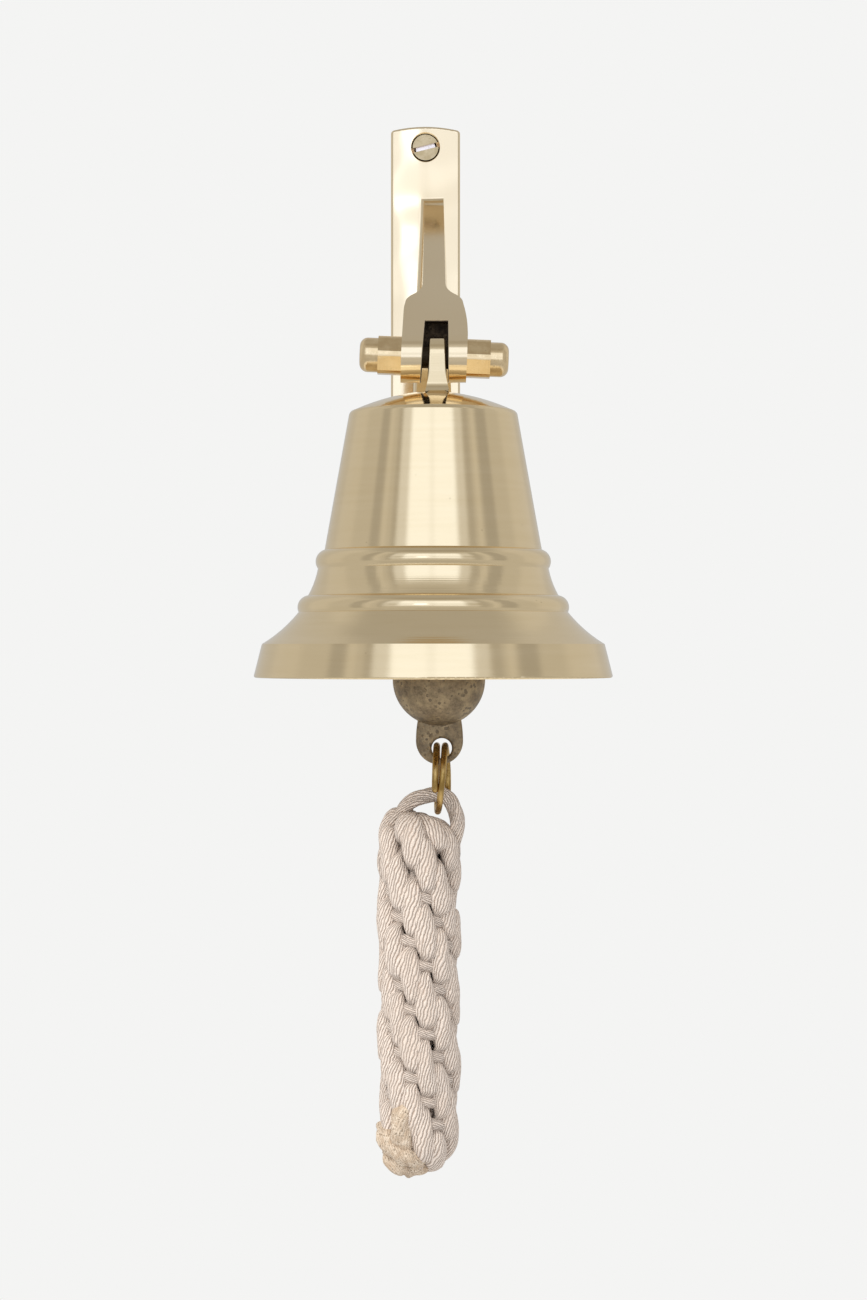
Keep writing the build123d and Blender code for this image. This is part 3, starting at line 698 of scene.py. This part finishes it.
# the heart: a straight core, closed at both ends
HEART_R = 0.0070
HEART_STEPS = 120
HEART_TOP_Z, HEART_FOOT_Z = SHOULDER_Z - 0.003, FOOT_Z + 0.004
down = np.linspace(0, 1, HEART_STEPS)
heart_line = np.stack([
    np.full(HEART_STEPS, AXIS_X), np.full(HEART_STEPS, AXIS_Y),
    HEART_TOP_Z + (HEART_FOOT_Z - HEART_TOP_Z) * down
], -1)
heart_r = HEART_R * np.clip(np.sin(np.pi * down) * 14, 0.25, 1.0) ** 0.5
heart = laid_rope(
    "lanyard_heart_core", heart_line, np.array([1.0, 0, 0]), heart_r, 30, swell=0.10, pitch=0.016
)
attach(heart, "lanyard")
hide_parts("lanyard_heart")

# the bight: up out of the plait on the left, over through the ring, and down on the right
BIGHT_R = 0.0026
BIGHT_STEPS = 200
bight_knots = np.array([
    (-13.2, -87.0, -206.0), (-14.4, -87.6, -200.5), (-13.9, -87.4, -195.0), (-11.2, -86.5, -189.4),
    (-8.3, -85.6, -183.6), (-3.6, -85.1, -178.6), (2.6, -85.0, -177.0), (8.2, -85.0, -178.0),
    (11.2, -85.2, -182.6), (11.6, -85.8, -187.6), (10.4, -86.4, -193.4), (9.6, -85.5, -201.0),
    (8.0, -84.0, -207.0),
]) * 0.001
bight = laid_rope(
    "lanyard_bight_rope", spline(bight_knots, BIGHT_STEPS), np.array([0, -1.0, 0]),
    np.full(BIGHT_STEPS, BIGHT_R), 28, swell=0.13, pitch=0.0125
)
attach(bight, "lanyard")
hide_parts("lanyard_bight")

# cotton: yarns laid round each rope, with painted shade in the grooves between them, soft blotches and
# stray fibres
yarns, yin, yout = effect(
    "yarns",
    [("Along", VECTOR, None), ("Yarns around", NUMBER, 20.0), ("Yarns per metre", NUMBER, 430.0)],
    [("Height", NUMBER), ("Shade", NUMBER)],
)
u, v, spare = xyz(yarns, yin.outputs["Along"])
stretched = node(yarns, "ShaderNodeCombineXYZ")
feed(yarns, stretched.inputs[0], sum_of(yarns, "MULTIPLY", u, 9.0))
feed(yarns, stretched.inputs[1], sum_of(yarns, "MULTIPLY", v, 260.0))
waver = node(yarns, "ShaderNodeTexNoise", Vector=stretched.outputs[0], Scale=1.0, Detail=2.0)
wind = sum_of(
    yarns, "SUBTRACT", sum_of(yarns, "MULTIPLY", u, yin.outputs["Yarns around"]),
    sum_of(yarns, "MULTIPLY", v, yin.outputs["Yarns per metre"]),
)
wind = weighted(yarns, wind, waver.outputs[0], 1.6)
ridge = sum_of(yarns, "ABSOLUTE", sum_of(yarns, "SINE", sum_of(yarns, "MULTIPLY", wind, math.pi)))
feed(yarns, yout.inputs["Height"], ridge)
feed(yarns, yout.inputs["Shade"], step(yarns, ridge, 0.0, 0.75))

cotton, tree, shader, place = material("cotton_rope")
own = node(tree, "ShaderNodeUVMap", uv_map="along").outputs[0]
laid = use(tree, yarns, Along=own)
blotch = node(tree, "ShaderNodeTexNoise", Vector=place, Scale=140.0, Detail=4.0)
fuzz = node(tree, "ShaderNodeTexNoise", Vector=place, Scale=3800.0, Detail=3.0)
# the grooves between the yarns are painted darker as shade; the bump gives their relief
colour = blend_colours(tree, laid.outputs["Shade"], (0.42, 0.31, 0.24), (0.79, 0.69, 0.61))
soiled = step(tree, blotch.outputs[0], 0.42, 0.70)
feed(tree, shader.inputs["Base Color"], fade(tree, colour, soiled, 0.45, (0.70, 0.58, 0.49)))
shader.inputs["Roughness"].default_value = 0.92
shader.inputs["Sheen Weight"].default_value = 0.06
roughen(tree, shader, weighted(tree, laid.outputs["Height"], fuzz.outputs[0], 0.35), 0.9, 0.0006)
for piece in (plait, weft, heart, bight):
    piece.data.materials.append(cotton)

# the strands' cut ends: folded across the foot, stiffened with glue and trimmed
CUT_END_R = 0.0036
END_STEPS = 60
end_knots = np.array([
    [(-5.5, -92.0, -284.0), (-7.6, -96.2, -288.0), (-8.8, -97.6, -293.0),
     (-8.4, -96.6, -297.5), (-7.0, -94.5, -300.0)],
    [(-15.6, -88.0, -294.0), (-13.2, -93.0, -298.5), (-9.0, -95.8, -302.5),
     (-4.6, -95.4, -304.6), (-1.6, -92.5, -304.6)],
    [(-13.5, -87.0, -303.0), (-11.4, -90.0, -306.0), (-7.6, -91.8, -308.0),
     (-3.6, -91.0, -308.6), (-1.5, -88.5, -307.5)],
]) * 0.001
end_lines = np.stack([spline(knots, END_STEPS) for knots in end_knots])
end_r = CUT_END_R * np.clip(np.arange(END_STEPS) / 12.0, 0.3, 1.0) ** 0.5
ends = laid_rope(
    "lanyard_cut_ends", end_lines, np.array([1.0, 0, 0]), end_r, 24, swell=0.12, pitch=0.012
)
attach(ends, "lanyard")

glued, tree, shader, place = material("glued_cotton")
own = node(tree, "ShaderNodeUVMap", uv_map="along").outputs[0]
laid = use(tree, yarns, Along=own)
crust = use(tree, tarnish, Place=place, Cloud_scale=420.0, Pit_scale=1100.0, Pit_size=0.35)
colour = blend_colours(tree, crust.outputs["Cloud"], (0.55, 0.42, 0.30), (0.75, 0.63, 0.50))
colour = fade(tree, colour, crust.outputs["Pits"], 0.7, (0.40, 0.27, 0.15))
feed(tree, shader.inputs["Base Color"], colour)
shader.inputs["Roughness"].default_value = 0.7
relief = weighted(tree, crust.outputs["Height"], laid.outputs["Height"], 0.5)
roughen(tree, shader, relief, 0.9, 0.0006)
ends.data.materials.append(glued)
